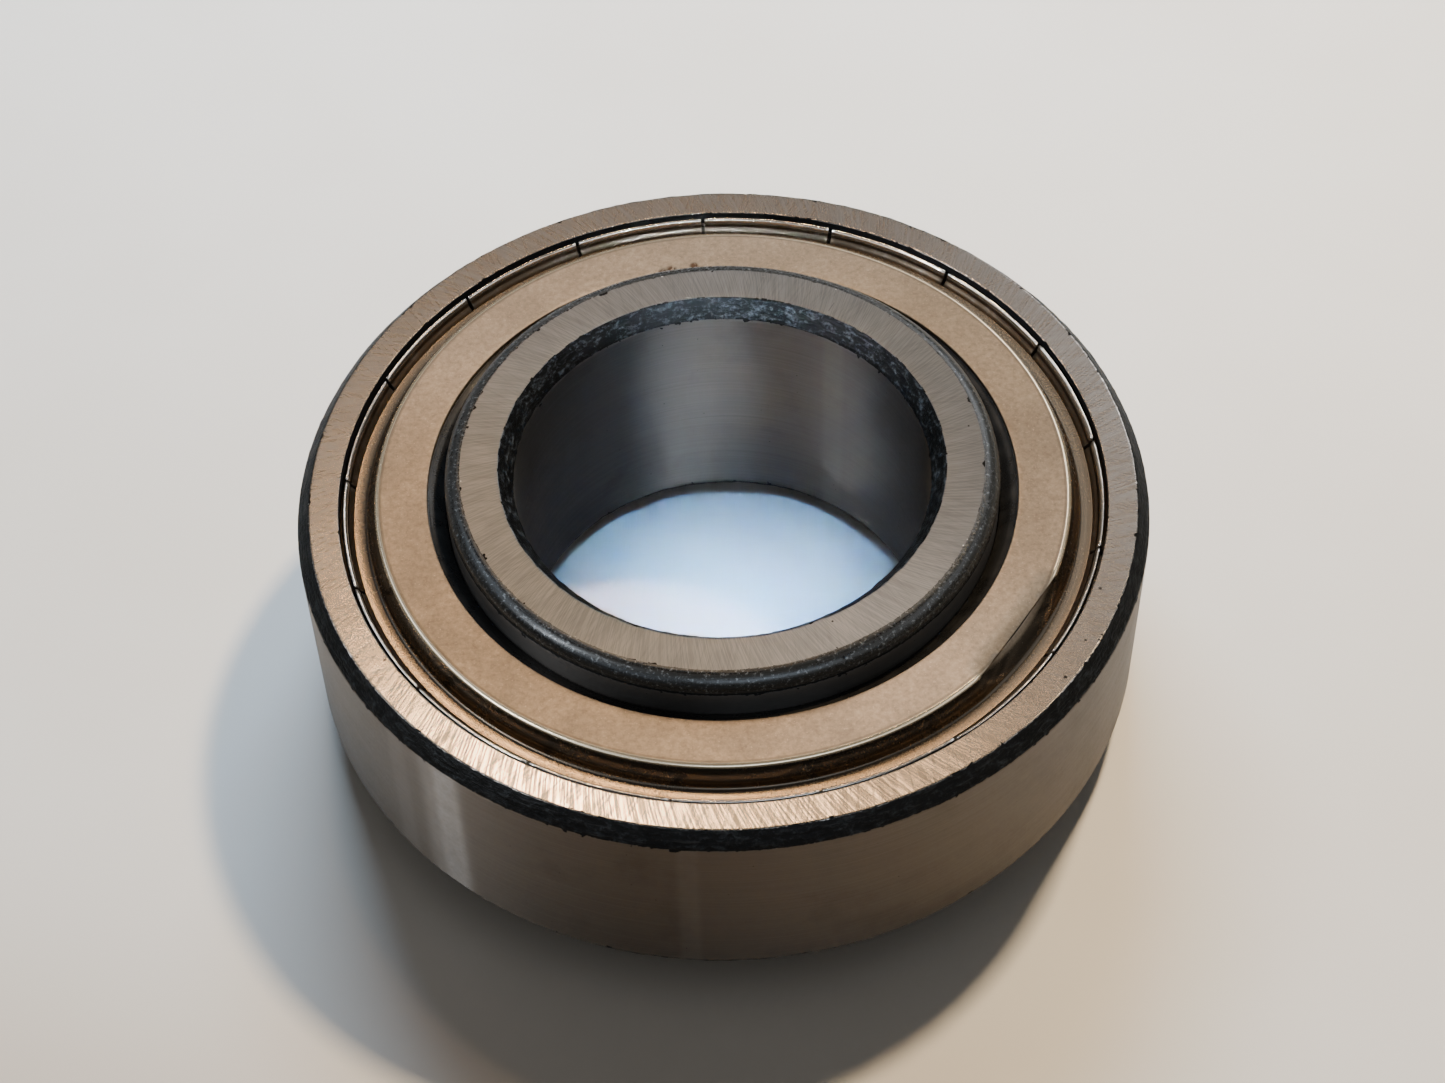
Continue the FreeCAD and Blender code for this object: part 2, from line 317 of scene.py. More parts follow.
def tan(level):
    """The yellow-brown of passivated sheet steel."""
    return (level * 1.22, level, level * 0.76, 1.0)


# ---------------------------------------------------------------- finishes

SCALE = grey(0.016, -0.04)


def ragged_edge(s, distance, reach):
    """1 on the scaled side of an edge and 0 on the ground side, its line chewed in by reach."""
    chewed = (s.noise(2.4, detail=5.0, roughness=0.75) - 0.48) * reach * 3.0
    bites = s.noise(0.9, detail=2.0).step(0.58, 0.72) * reach * 2.0
    return (distance + chewed + bites).step(-0.02, 0.04)


def ground_face_steel(
    name, inner_edge, outer_edge, level, warmth, smoothness, contrast, stretch, marks
):
    """A ring's flat face: cross-hatched by a cup wheel, ragged where the chamfer's scale starts."""
    s = Shader(name, Metallic=1.0, Anisotropic=stretch)
    cut = s.spun_lines(6.4, -0.011, 0.25).step(0.38, 0.62)
    cross = s.spun_lines(4.4, 0.008, 0.20).step(0.46, 0.70)
    blotch = s.noise(0.35, detail=4.0)
    tint = s.mix(blotch.step(0.35, 0.7), grey(level, warmth), grey(level * 0.88, warmth * 1.2))
    colour = s.mix((cut * 0.75 + cross * 0.35) * contrast, tint, grey(level * 0.45, warmth))
    rag = ragged_edge(s, s.radius - outer_edge, 0.14) + ragged_edge(s, inner_edge - s.radius, 0.08)
    colour = s.mix((rag + marks(s)).clamp(), colour, SCALE)
    # stray scratches, and bright nicks where the edge has been knocked
    slant = s.vector(s.x * 0.22 + s.y * 1.4, s.y * 0.25 - s.x * 0.1, 0.0)
    scratch = s.cells(0.5, slant).step(0.03, 0.01)
    knocks = s.cells(1.3).step(0.16, 0.09) * s.radius.step(outer_edge - 0.22, outer_edge - 0.08)
    bright = (scratch * 0.5 + knocks * s.noise(0.3).step(0.48, 0.56)).clamp()
    colour = s.mix(bright, colour, grey(0.80, warmth * 0.5))
    roughness = smoothness + cut * 0.10 * contrast + cross * 0.05 * contrast + rag * 0.25
    return s.finish(colour, roughness.clamp(), 0 - cut * 0.5 - cross * 0.4 - rag * 0.6, 0.0012)


def outer_face_marks(s):
    """A scratch across the outer face, a pit, and three dark flecks."""
    scratch = s.stroke(angle=-164.0, start=36.3, end=38.65, width=0.07)
    pit = s.spot(angle=-38.2, radius=38.1, size=0.24)
    left_fleck = s.spot(angle=-147.3, radius=36.4, size=0.20)
    right_fleck = s.spot(angle=-21.9, radius=36.7, size=0.22)
    front_fleck = s.spot(angle=-31.3, radius=37.6, size=0.18)
    return scratch * 0.7 + pit + (left_fleck + right_fleck + front_fleck)


def inner_face_marks(s):
    """A short scratch and two nicks in the inner face."""
    scratch = s.stroke(angle=60.0, start=21.4, end=22.6, width=0.05)
    front_nick = s.spot(angle=-64.0, radius=21.5, size=0.14)
    right_nick = s.spot(angle=8.0, radius=23.4, size=0.12)
    return scratch * 0.5 + front_nick + right_nick


def ground_round_steel(name, level, warmth, edge, smoothness, painted_streaks):
    """A ring's cylinder: fine grinding lines round the axis, scale creeping in at its ends, and painted
    reflection streaks in its colour.
    """
    s = Shader(name, Metallic=1.0, Anisotropic=0.9, Anisotropic_Rotation=0.25)
    lines = s.ring_lines(7.0)
    fine = s.ring_lines(22.0, 0.12)
    mottle = s.noise(0.22, detail=5.0, roughness=0.6)
    speck = s.noise(2.6, detail=2.0, roughness=0.7)
    worn = (lines - 0.5) * 1.0 + (fine - 0.5) * 0.7 + 0.3
    colour = s.mix(worn, grey(level, warmth), grey(level * 0.66, warmth * 1.2))
    colour = s.mix(mottle.step(0.5, 0.75) * 0.4, colour, grey(level * 0.6, warmth * 1.4))
    # painted reflections: bright upright streaks mixed into the colour
    colour = s.mix(painted_streaks(s) * (0.35 + speck * 0.9), colour, grey(0.34, 0.04))
    pits = s.cells(0.55).step(0.05, 0.02)
    rag = ragged_edge(s, s.z.size() - edge, 0.20)
    colour = s.mix((rag + pits * 0.7).clamp(), colour, SCALE)
    satin = (lines - 0.5) * 0.10 + (speck - 0.5) * 0.12 + (mottle - 0.5) * 0.08
    roughness = smoothness + satin + rag * 0.3
    return s.finish(colour, roughness.clamp(), lines * 0.6 + fine * 0.4 + speck * 0.3 - rag, 0.0025)


# the outside's painted reflection streaks, upright: angle in degrees, half width in millimetres, strength
PAINTED_STREAKS = [(-130.0, 3.4, 0.35), (-129.0, 2.0, 0.35), (-95.6, 1.3, 0.12), (-138.0, 1.6, 0.12)]


def outside_painted_streaks(s):
    """Painted reflections: upright bright streaks painted into the outside's colour."""
    patchy = 0.4 + s.noise(0.5, detail=4.0)
    streaks = sum(
        s.stroke(angle, OUTER_R - 2.0, OUTER_R + 1.0, width) * strength
        for angle, width, strength in PAINTED_STREAKS
    )
    return streaks * patchy


def bore_painted_streak(s):
    """A painted reflection: one faint upright streak painted into the bore's colour."""
    return s.stroke(angle=55.0, start=18.0, end=20.0, width=1.6) * 0.12


def heat_scale(name, speckle):
    """The furnace scale left on a chamfer: near-black, rough, and flaked here and there to bare steel."""
    s = Shader(name, Metallic=0.75, Specular_IOR_Level=0.35, Specular_Tint=grey(0.45, -0.05))
    drawn = s.vector(s.x * 0.9, s.y * 0.9, s.z * 2.4)
    crinkle = s.noise(1.0, drawn, detail=4.0, roughness=0.6, distortion=0.6)
    streak = s.noise(1.0, s.vector(s.x * 0.3, s.y * 0.3, s.z * 4.0), detail=4.0, roughness=0.65)
    grit = s.noise(3.0, detail=4.0, roughness=0.7)
    bare = (crinkle * 0.6 + grit * 0.4).step(0.48, 0.72)
    colour = s.mix(bare * speckle, grey(0.011, -0.05), grey(0.15, -0.14))
    colour = s.mix(streak.step(0.55, 0.72) * 0.5, colour, grey(0.05, -0.05))
    roughness = 0.40 + (grit - 0.5) * 0.35 + (crinkle - 0.5) * 0.25
    height = crinkle * 0.9 + streak * 0.6 + grit * 0.4
    return s.finish(colour, roughness.clamp(), height, 0.12)


def turned_corner(name):
    """The inner ring's rounded corner: blued by heat, with turning lines and small pits."""
    s = Shader(name, Metallic=0.7, Specular_IOR_Level=0.6)
    lines = s.ring_lines(5.5, 0.05)
    broad = s.ring_lines(1.8, 0.02)
    grit = s.noise(3.0, detail=5.0, roughness=0.7)
    pits = s.cells(1.1).step(0.20, 0.10) * s.noise(0.5).step(0.5, 0.65)
    colour = s.mix((lines + broad - 1.0) * 1.2 + 0.45, grey(0.020, -0.03), grey(0.075, -0.10))
    colour = s.mix(grit.step(0.54, 0.68) * 0.8, colour, grey(0.26, -0.10))
    colour = s.mix(pits, colour, grey(0.006))
    roughness = 0.30 + (lines - 0.5) * 0.25 + (grit - 0.5) * 0.2
    return s.finish(colour, roughness.clamp(), lines * 0.8 + broad * 0.6 + grit * 0.4 - pits, 0.03)


def pressed_sheet(name):
    """The shield: satin passivated sheet with a fine grain, its channel painted dark as shade with oil in
    it, and a painted highlight along its bend.
    """
    s = Shader(name, Anisotropic=0.7)
    grain = s.noise(2.3, detail=4.0, roughness=0.65)
    fine = s.noise(6.0, detail=2.0, roughness=0.6)
    cloud = s.noise(0.16, detail=4.0)
    drawn = s.noise(1.0, s.vector(s.x * 0.25, s.y * 1.6, s.z), detail=3.0)
    colour = s.mix(cloud.step(0.35, 0.68), tan(0.38), tan(0.32))
    colour = s.mix((grain - 0.5) * 1.8 + 0.35, colour, tan(0.19))
    colour = s.mix(drawn.step(0.56, 0.72) * 0.25, colour, tan(0.21))
    colour = s.mix(fine.step(0.62, 0.74) * 0.5, colour, tan(0.60))
    # the wall and the channel are painted dark: painted shade in the recess, with oil between its turned
    # lines, and the channel's outer slope painted less dark
    depth = SHIELD_TOP - s.z.size()
    sunk = depth.step(0.10, 0.35) * s.radius.step(PLATEAU_R - 0.5, PLATEAU_R)
    rings = s.ring_lines(9.0, 0.01)
    slope = s.radius.step(WALL_FOOT_R + 0.1, WALL_FOOT_R + 0.7)
    oil_and_shade = s.mix(rings.step(0.4, 0.7), tan(0.026), tan(0.075))
    oil_and_shade = s.mix(slope * (0.35 + rings * 0.6), oil_and_shade, tan(0.21))
    colour = s.mix(sunk * 0.96, colour, oil_and_shade)
    # the bend round the plateau is burnished smoother by the press tool, and its colour is a painted
    # highlight, with a dark line inside it
    bend = s.radius.step(PLATEAU_R - 0.36, PLATEAU_R - 0.22) * depth.step(0.34, 0.12)
    inwards = PLATEAU_R - s.radius
    line = inwards.step(0.62, 0.50) * inwards.step(0.28, 0.40)
    # painted highlight: the bend's bright cream colour
    colour = s.mix(bend * 0.9, colour, (0.95, 0.80, 0.58, 1.0))
    colour = s.mix(line * 0.45, colour, tan(0.12))
    # crumbs of dried grease by the inner edge
    heap = s.spot(angle=99.3, radius=27.9, size=0.75) + s.spot(angle=101.2, radius=27.8, size=0.6)
    heap = heap + s.spot(angle=94.6, radius=28.15, size=0.6)
    crumbs = (heap.clamp() * s.noise(2.6, detail=3.0).step(0.36, 0.48) * s.z.step(9.0, 9.4)).clamp()
    colour = s.mix(crumbs, colour, (0.05, 0.022, 0.008, 1.0))
    satin = 0.48 + (grain - 0.5) * 0.14 + (cloud - 0.5) * 0.10
    roughness = satin - sunk * 0.22 - bend * 0.24 + crumbs * 0.2
    pressed = (grain * 0.8 + fine * 0.5 + drawn * 0.3) * (1 - sunk) * (1 - bend * 0.8)
    height = pressed + sunk * rings * 0.12 + crumbs * 12.0
    return s.finish(colour, roughness.clamp(), height, 0.009, metal=0.92 - crumbs * 0.9)


def burnished_rim(name):
    """The crimped tabs, rubbed bright by the crimping tool along their crowns."""
    s = Shader(name, Metallic=1.0)
    rub = s.noise(1.0, s.vector(s.x * 0.5, s.y * 0.5, s.z * 9.0 + s.radius * 9.0), detail=3.0)
    wear = s.noise(0.8, detail=3.0)
    crown = s.z.size().step(OUTER_FACE - 1.0, OUTER_FACE - 0.62)
    colour = s.mix(crown, (0.21, 0.17, 0.125, 1.0), grey(0.80, 0.06))
    colour = s.mix(wear.step(0.55, 0.75) * 0.35, colour, grey(0.42, 0.08))
    roughness = 0.34 - crown * 0.16 + (rub - 0.5) * 0.2 + (wear - 0.5) * 0.1
    return s.finish(colour, roughness.clamp(), rub, 0.008)


def oiled_rubber(name):
    """The black lip, wet with oil, with a faint moulded grain."""
    s = Shader(name, Metallic=0.0, Specular_IOR_Level=0.25, Coat_Weight=0.08, Coat_Roughness=0.12)
    film = s.noise(0.5, detail=4.0)
    grain = s.noise(5.0, detail=3.0)
    colour = s.mix(film.step(0.4, 0.7), grey(0.007), grey(0.013, 0.02))
    roughness = 0.30 + (film - 0.5) * 0.35 + (grain - 0.5) * 0.1
    return s.finish(colour, roughness.clamp(), grain * 0.5 + film, 0.01)


def plain_steel(name, level, smoothness):
    """Hidden steel pieces: pressed, rolled or lapped, with a light film of grease."""
    s = Shader(name, Metallic=1.0)
    film = s.noise(0.4, detail=4.0)
    grain = s.noise(3.0, detail=3.0)
    colour = s.mix(film.step(0.4, 0.7), grey(level, 0.01), grey(level * 0.72, 0.09))
    roughness = smoothness + (grain - 0.5) * 0.12 + (film - 0.5) * 0.14
    return s.finish(colour, roughness.clamp(), grain, 0.002)


def table_sheet(name):
    """The pale painted sheet that the bearing lies on, with painted shade: darker and browner towards the
    front, where the light falls off.
    """
    s = Shader(name, Metallic=0.0, Specular_IOR_Level=0.4)
    cloud = s.noise(0.02, detail=3.0)
    grain = s.noise(0.9, detail=3.0)
    colour = s.mix(cloud.step(0.3, 0.7), grey(0.76, 0.012), grey(0.71, 0.03))
    # painted shade: the lights' falloff towards the front, painted into the sheet's colour
    painted_falloff = (s.y * 0.8 + s.x * 0.2 + cloud * 20.0).step(-15.0, -75.0)
    colour = s.mix(painted_falloff * 0.9, colour, (0.40, 0.30, 0.21, 1.0))
    return s.finish(colour, (0.42 + (grain - 0.5) * 0.1).clamp(), grain, 0.01)


# ---------------------------------------------------------------- shapes

def arc(centre_r, centre_z, radius, start, end, steps):
    """Points along an arc in a section, from one angle in degrees to another."""
    points = []
    for step in range(steps + 1):
        angle = math.radians(start + (end - start) * step / steps)
        points.append((centre_r + radius * math.cos(angle), centre_z + radius * math.sin(angle), 0.0))
    return points


def lower_half(upper):
    """The mirror image, below mid-width, of an upper half section's corners."""
    return [(r, -z, rounding) for r, z, rounding in reversed(upper)]


def section(bm, corners):
    """A closed flat face through corners, each a radius, a height and a rounding in millimetres."""
    points = [bm.verts.new((r * MM, 0.0, z * MM)) for r, z, rounding in corners]
    face = bm.faces.new(points)
    for size in sorted({rounding for r, z, rounding in corners if rounding > 0}):
        rounded = [point for point, (r, z, rounding) in zip(points, corners) if rounding == size]
        bmesh.ops.bevel(
            bm, geom=rounded, offset=size * MM, offset_type="OFFSET", affect="VERTICES",
            segments=4, profile=0.5, material=-1,
        )
    return face


def turn_full(bm, steps):
    """Spin every edge of the section a full turn round the axis, and close the seam."""
    bmesh.ops.delete(bm, geom=bm.faces[:], context="FACES_ONLY")
    bmesh.ops.spin(
        bm, geom=bm.verts[:] + bm.edges[:], cent=(0, 0, 0), axis=(0, 0, 1), dvec=(0, 0, 0),
        angle=2 * math.pi, steps=steps, use_merge=True, use_normal_flip=False, use_duplicate=False,
    )
    bmesh.ops.remove_doubles(bm, verts=bm.verts[:], dist=WELD * MM)
    bmesh.ops.recalc_face_normals(bm, faces=bm.faces[:])


def polar(point):
    """A mesh point's radius, angle and height, in millimetres and radians."""
    return math.hypot(point.x, point.y) / MM, math.atan2(point.y, point.x), point.z / MM


def set_polar(point, radius, angle, height):
    point.x = radius * math.cos(angle) * MM
    point.y = radius * math.sin(angle) * MM
    point.z = height * MM


def roughen(bm, inside, depth, pitch, seed):
    """Move the points for which inside(radius, height) is true along their normals, by seeded noise."""
    bm.normal_update()
    for vert in bm.verts:
        radius, _, height = polar(vert.co)
        if inside(radius, height):
            where = vert.co / (pitch * MM) + Vector((seed, seed * 0.7, 0.0))
            vert.co += vert.normal * depth * MM * noise.fractal(where, 0.6, 2.0, 3)


def make_piece(name, bm, node, body, materials, zone=None, sharp=38.0):
    """Turn a bmesh into a piece that stands for a CAD node and moves with a body.

    zone(radius, height) gives the place of a face's material in the list, and edges past sharp degrees
    stay crisp.
    """
    for face in bm.faces:
        face.smooth = True
        if zone:
            radius, _, height = polar(face.calc_center_median())
            face.material_index = zone(radius, height)
    mesh = bpy.data.meshes.new(name)
    bm.to_mesh(mesh)
    bm.free()
    mesh.set_sharp_from_angle(angle=math.radians(sharp))
    for material in materials:
        mesh.materials.append(material)
    piece = bpy.data.objects.new(name, mesh)
    bpy.context.scene.collection.objects.link(piece)
    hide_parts(node)
    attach(piece, body)
    return piece


# ---------------------------------------------------------------- the rings

def make_outer_ring(materials):
    """Ground faces and outside, scaled chamfers, a rebate and undercut at each side, a raceway."""
    sink = PITCH_R - RACEWAY_SHIFT
    reach = math.degrees(math.acos((OUTER_LAND_R - sink) / RACEWAY_R))
    upper = [
        (OUTER_R, CHAMFER_FOOT - 0.4, 0.0),
        (OUTER_R, CHAMFER_FOOT, 0.22),
        (FACE_EDGE_R, OUTER_FACE, 0.12),
        (FACE_EDGE_R - 0.2, OUTER_FACE, 0.0),
        (REBATE_R + 0.18, OUTER_FACE, 0.0),
        (REBATE_R, OUTER_FACE, 0.10),
        (REBATE_R, UNDERCUT_TOP, 0.0),
        (UNDERCUT_R, UNDERCUT_TOP, 0.0),
        (UNDERCUT_R, SEAT, 0.0),
        (OUTER_LAND_R, SEAT, 0.12),
    ]
    groove = arc(sink, 0, RACEWAY_R, reach, -reach, RACEWAY_STEPS)
    bm = bmesh.new()
    section(bm, upper + groove + lower_half(upper))
    turn_full(bm, OUTER_STEPS)

    def on_chamfer(radius, height):
        return radius > FACE_EDGE_R - 0.02 and CHAMFER_FOOT - 0.1 < abs(height) < OUTER_FACE + 0.01

    roughen(bm, on_chamfer, depth=0.05, pitch=0.9, seed=3.0)

    def zone(radius, height):
        if abs(height) > OUTER_FACE - 0.06 and radius < FACE_EDGE_R + 0.02:
            return 0
        if radius > OUTER_R - 0.06 and abs(height) < CHAMFER_FOOT + 0.1:
            return 1
        if radius > FACE_EDGE_R - 0.1:
            return 2
        return 1

    return make_piece(
        "outer_ring_ground", bm, "outer_ring", "outer_ring", materials, zone
    )


def make_inner_ring(materials):
    """Ground faces and bore, scaled bore chamfers, and large rounded outer corners."""
    crown = PITCH_R + RACEWAY_SHIFT
    reach = math.degrees(math.acos((crown - LAND_R) / RACEWAY_R))
    upper = [
        (BORE_R, BORE_CHAMFER_FOOT - 0.6, 0.0),
        (BORE_R, BORE_CHAMFER_FOOT, 0.35),
        (BORE_MOUTH_R, INNER_FACE, 0.16),
        (BORE_MOUTH_R + 0.25, INNER_FACE, 0.0),
        (LAND_R - CORNER_R - 0.15, INNER_FACE, 0.0),
        (LAND_R - CORNER_R, INNER_FACE, 0.0),
    ]
    upper += arc(LAND_R - CORNER_R, INNER_FACE - CORNER_R, CORNER_R, 90, 0, CORNER_STEPS)[1:]
    groove = arc(crown, 0, RACEWAY_R, 180 - reach, 180 + reach, RACEWAY_STEPS)
    bm = bmesh.new()
    section(bm, upper + groove + lower_half(upper))
    turn_full(bm, INNER_STEPS)

    def on_bore_chamfer(radius, height):
        return BORE_R + 0.02 < radius < BORE_MOUTH_R + 0.03 and abs(height) > BORE_CHAMFER_FOOT - 0.2

    roughen(bm, on_bore_chamfer, depth=0.07, pitch=0.8, seed=11.0)

    def zone(radius, height):
        if abs(height) > INNER_FACE - 0.03 and BORE_MOUTH_R - 0.05 < radius < LAND_R - CORNER_R + 0.08:
            return 0
        if radius < BORE_R + 0.08 and abs(height) < BORE_CHAMFER_FOOT + 0.02:
            return 1
        if radius < BORE_MOUTH_R + 0.2:
            return 2
        if radius > LAND_R - CORNER_R and abs(height) > WASHER_TOP - 0.6:
            return 3
        return 1

    return make_piece(
        "inner_ring_ground", bm, "inner_ring", "inner_ring", materials, zone
    )


# ---------------------------------------------------------------- the shields and seals

def press_dent(radius, angle, height):
    """Where a point of the upper shield goes when its edge is knocked flat between two kinks."""
    away = abs(angle - DENT_MIDDLE)
    if away > DENT_HALF or radius > WALL_FOOT_R:
        return radius, angle, height
    reach = radius * math.cos(away)
    out = reach - DENT_CREASE
    if out <= 0:
        return radius, angle, height
    slide = max(0.0, min(radius, PLATEAU_R) * math.cos(away) - DENT_CHORD)
    fade = 1.0
    if radius > PLATEAU_R:
        fade = max(0.0, (WALL_FOOT_R - radius) / (WALL_FOOT_R - PLATEAU_R))
    drop = DENT_SLOPE * min(out, DENT_CHORD - DENT_CREASE + slide) * fade
    along = radius * math.sin(angle - DENT_MIDDLE)
    reach -= slide * fade
    return math.hypot(reach, along), DENT_MIDDLE + math.atan2(along, reach), height - drop


def shield_section(bm):
    """The pressed cap's section, from its hole to the start of the crimped rim."""
    under = SHIELD_TOP - SHEET
    floor = SEAT + SHEET
    # rings of points across the plateau let the dent bend it
    width = PLATEAU_R - HOLE_R
    plateau = [(HOLE_R + width * ring / 10, SHIELD_TOP, 0.0) for ring in range(1, 10)]
    corners = [(HOLE_R, SHIELD_TOP, 0.10)] + plateau + [
        (PLATEAU_R, SHIELD_TOP, 0.26),
        (WALL_FOOT_R, floor, 0.28),
        (CHANNEL_END_R, floor + 0.04, 0.0),
        (CHANNEL_END_R, SEAT, 0.0),
        (WALL_FOOT_R - 0.45, SEAT, 0.2),
        (PLATEAU_R - 0.45, under, 0.2),
        (HOLE_R, under, 0.05),
    ]
    section(bm, corners)


def turn_over(bm):
    """Turn a mesh over about the X axis: the lower seal is the upper one turned over."""
    bmesh.ops.rotate(bm, verts=bm.verts[:], cent=(0, 0, 0), matrix=Matrix.Rotation(math.pi, 3, "X"))


def make_shield(side, material):
    """The pressed cap, its plateau not quite flat, and dented on the upper side only."""
    bm = bmesh.new()
    shield_section(bm)
    turn_full(bm, SHIELD_STEPS)
    for vert in bm.verts:
        radius, angle, height = polar(vert.co)
        where = Vector((math.cos(angle) * 2.2, math.sin(angle) * 2.2, radius * 0.2))
        wobble = WOBBLE * noise.noise(where)
        if side == "upper":
            radius, angle, height = press_dent(radius, angle, height)
        set_polar(vert.co, radius, angle, height + wobble * (radius < PLATEAU_R + 0.1))
    if side == "lower":
        turn_over(bm)
    return make_piece(
        f"{side}_shield_cap", bm, f"{side}_shield", "outer_ring", [material], sharp=50.0
    )


def make_rim_tab(bm, lean, lift):
    """One tab of the crimped rim, closed at both ends, starting at angle 0."""
    start = CHANNEL_END_R - 0.03
    foot = SEAT + 0.02
    outline = [(start, foot), (start, SEAT + SHEET + 0.05)] + TAB_FOLD
    outline += [(r + lean, z + lift) for r, z in TAB_CROWN]
    outline += [(TAB_SHOULDER[0] + lean * 0.5, TAB_SHOULDER[1] + lift)] + TAB_SKIRT
    outline += [(SHIELD_R - 0.04, foot)]
    face = section(bm, [(r, z, 0.0) for r, z in outline])
    span = 2 * math.pi / SLITS - SLIT_ANGLE
    geometry = [face] + list(face.edges) + list(face.verts)
    bmesh.ops.spin(
        bm, geom=geometry, cent=(0, 0, 0), axis=(0, 0, 1), dvec=(0, 0, 0),
        angle=span, steps=TAB_STEPS, use_merge=False, use_normal_flip=False, use_duplicate=False,
    )
    bmesh.ops.remove_doubles(bm, verts=bm.verts[:], dist=WELD * MM)
    bmesh.ops.recalc_face_normals(bm, faces=bm.faces[:])
    square = math.radians(70)
    ends = [
        edge for edge in bm.edges
        if edge.is_manifold and edge.calc_face_angle() > square
        and any(len(face.verts) > 4 for face in edge.link_faces)
    ]
    bmesh.ops.bevel(
        bm, geom=ends, offset=0.07 * MM, offset_type="OFFSET", affect="EDGES",
        segments=2, profile=0.5, material=-1,
    )


def make_rim(side, material):
    """The rim of tabs between the slits, each crimped a little differently."""
    chance = random.Random(RIM_SEED[side])
    rim = bmesh.new()
    for number in range(SLITS):
        tab = bmesh.new()
        make_rim_tab(tab, lean=chance.uniform(-0.03, 0.05), lift=chance.uniform(-0.08, 0.06))
        start = SLIT_PHASE + SLIT_ANGLE / 2 + number * 2 * math.pi / SLITS
        bmesh.ops.rotate(tab, verts=tab.verts[:], cent=(0, 0, 0), matrix=Matrix.Rotation(start, 3, "Z"))
        mesh = bpy.data.meshes.new("tab")
        tab.to_mesh(mesh)
        tab.free()
        rim.from_mesh(mesh)
        bpy.data.meshes.remove(mesh)
    for vert in rim.verts:
        radius, angle, height = polar(vert.co)
        if height > CROWN_FOOT:
            where = Vector((math.cos(angle) * 9, math.sin(angle) * 9, 0.0))
            radius += WOBBLE * noise.noise(where)
            height += WOBBLE * noise.noise(where * 2)
            set_polar(vert.co, radius, angle, height)
    if side == "lower":
        turn_over(rim)
    return make_piece(
        f"{side}_shield_rim", rim, f"{side}_shield", "outer_ring", [material], sharp=60.0
    )


def make_seal_lip(side, material):
    """The rubber bonded under the shield, with a rounded nose and a thin lip against the inner ring."""
    top = SHIELD_TOP - SHEET
    bm = bmesh.new()
    bonded = [(RUBBER_R, top, 0.0), (RUBBER_R, WASHER_TOP, 0.0), (WASHER_HOLE_R, WASHER_TOP, 0.0)]
    section(bm, bonded + LIP_SECTION + [(HOLE_R, top, 0.0)])
    turn_full(bm, RUBBER_STEPS)
    if side == "lower":
        turn_over(bm)
    return make_piece(
        f"{side}_seal_rubber", bm, f"{side}_seal_lip", "outer_ring", [material]
    )


def finish_cad_nodes():
    """The pieces inside keep their CAD shape and get their own finishes."""
    ball = plain_steel("lapped ball steel", 0.78, 0.10)
    cage = plain_steel("pressed cage steel", 0.48, 0.34)
    rivet = plain_steel("headed rivet steel", 0.52, 0.38)
    washer = plain_steel("rolled washer steel", 0.46, 0.36)
    # the rivets' name holds the word cage too, so their own finish comes after the cage's
    finishes = {"ball": ball, "cage": cage, "rivets": rivet, "washer": washer}
    for name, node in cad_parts.items():
        for word, material in finishes.items():
            if word in name:
                node.data.materials.clear()
                node.data.materials.append(material)


# ---------------------------------------------------------------- table, lights and camera

def make_table():
    """A flat sheet under the bearing, wider than any view of it."""
    bm = bmesh.new()
    bmesh.ops.create_grid(bm, x_segments=1, y_segments=1, size=1.6)
    bmesh.ops.translate(bm, verts=bm.verts[:], vec=(0, 0, TABLE_Z * MM))
    mesh = bpy.data.meshes.new("table")
    bm.to_mesh(mesh)
    bm.free()
    mesh.materials.append(table_sheet("pale painted sheet"))
    table = bpy.data.objects.new("table", mesh)
    bpy.context.scene.collection.objects.link(table)


def add_light(
    name, direction, distance, size, power, colour, seen, spread=180.0, aim=(0, 0, 0)
):
    """An area light of some watts, aimed at a point on the bearing.

    direction is in degrees round from +X and above level, distance and size are in metres, aim is in
    millimetres, and spread is the beam's angle in degrees. seen is "surfaces" for a light that only
    matt surfaces see, and "reflections" for one that is only mirrored.
    """
    data = bpy.data.lights.new(name, "AREA")
    data.shape = "RECTANGLE"
    data.size, data.size_y = size
    data.energy = power
    data.color = colour
    data.spread = math.radians(spread)
    lamp = bpy.data.objects.new(name, data)
    flat, rise = math.radians(direction[0]), math.radians(direction[1])
    away = Vector((math.cos(rise) * math.cos(flat), math.cos(rise) * math.sin(flat), math.sin(rise)))
    lamp.location = Vector(aim) * MM + distance * away
    lamp.rotation_euler = away.to_track_quat("Z", "Y").to_euler()
    lamp.visible_diffuse = seen != "reflections"
    lamp.visible_glossy = seen != "surfaces"
    bpy.context.scene.collection.objects.link(lamp)


AMBIENT = (1.0, 0.95, 0.86, 1.0)
AMBIENT_STRENGTH = 0.13
AMBER = (1.0, 0.62, 0.32)
WARM = (1.0, 0.75, 0.46)
DAY = (0.64, 0.82, 1.0)
SKY = (0.25, 0.52, 1.0)
COOL = (0.78, 0.88, 1.0)
WHITE = (0.98, 0.99, 1.0)


